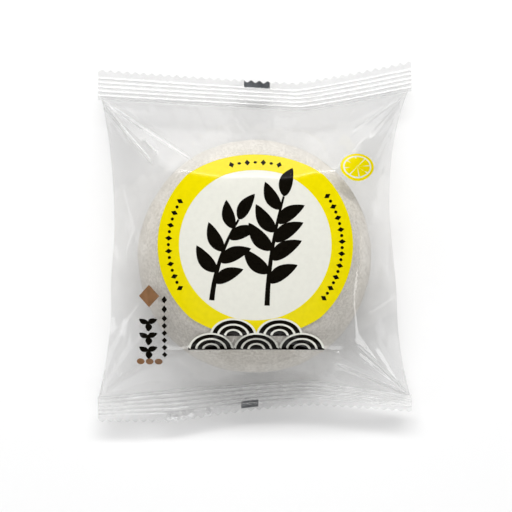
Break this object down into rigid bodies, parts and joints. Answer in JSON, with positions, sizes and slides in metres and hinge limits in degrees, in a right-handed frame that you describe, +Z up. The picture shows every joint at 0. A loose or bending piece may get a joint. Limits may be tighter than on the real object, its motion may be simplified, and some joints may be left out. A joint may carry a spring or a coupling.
{
  "type": "mochi rice cake",
  "caption": "Soft round rice cake with a powdered skin, sealed in a clear film pack with crimped, zigzag-cut end seals, lying flat with its print up.",
  "frame": {"origin": "on the surface that the pack lies on, below the middle of its box", "axes": "+Z up out of the printed front, +Y towards the upper end seal, +X to the right of the print"},
  "size_m": [0.0908, 0.105, 0.0272],
  "materials": {
    "film": "clear glossy film with soft creases",
    "rice_cake": "soft matt skin dusted with starch",
    "print_yellow": "opaque yellow ink behind film",
    "print_white": "opaque white ink behind film",
    "print_black": "opaque black ink behind film",
    "print_tan": "opaque brown ink behind film"
  },
  "bodies": {
    "root": {"pack": "film"}
  },
  "joints": []
}
